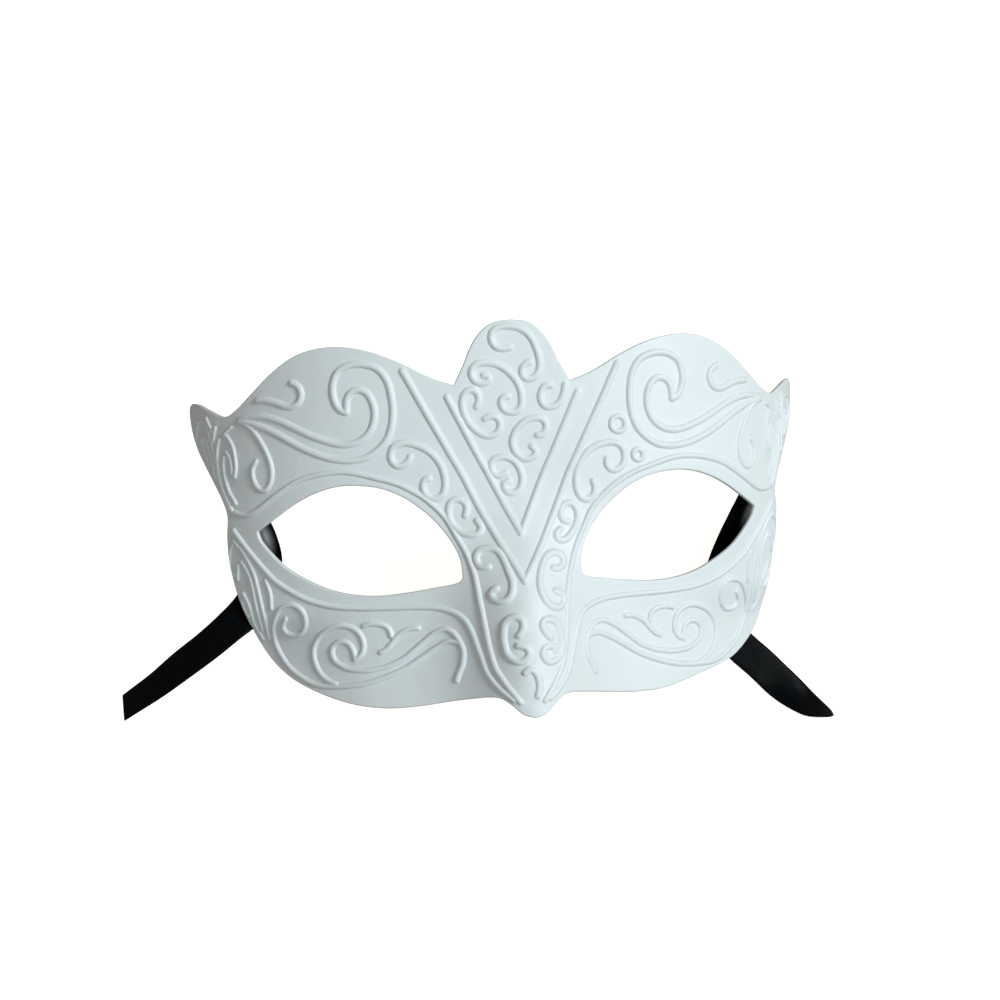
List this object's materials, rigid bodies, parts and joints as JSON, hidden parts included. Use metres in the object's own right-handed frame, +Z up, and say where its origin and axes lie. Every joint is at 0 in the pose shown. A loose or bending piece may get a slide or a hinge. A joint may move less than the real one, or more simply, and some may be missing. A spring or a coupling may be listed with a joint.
{
  "type": "venetian half mask",
  "caption": "Thin moulded half mask with raised scroll lines, almond eye openings, a beaked nose and a flat satin tie ribbon at each temple, lying on its back.",
  "frame": {"origin": "On the surface that the mask lies on, under the middle of the shell's bounding box.", "axes": "+X to the right as seen from above with the forehead away, +Y towards the forehead, +Z up, the way the face looks."},
  "size_m": [0.2038, 0.1122, 0.0436],
  "materials": {
    "mask_plastic": "moulded, unpainted, slight sheen",
    "black_satin": "woven satin, black"
  },
  "bodies": {
    "root": {"mask_shell": "mask_plastic", "left_ribbon": "black_satin", "right_ribbon": "black_satin"}
  },
  "joints": []
}
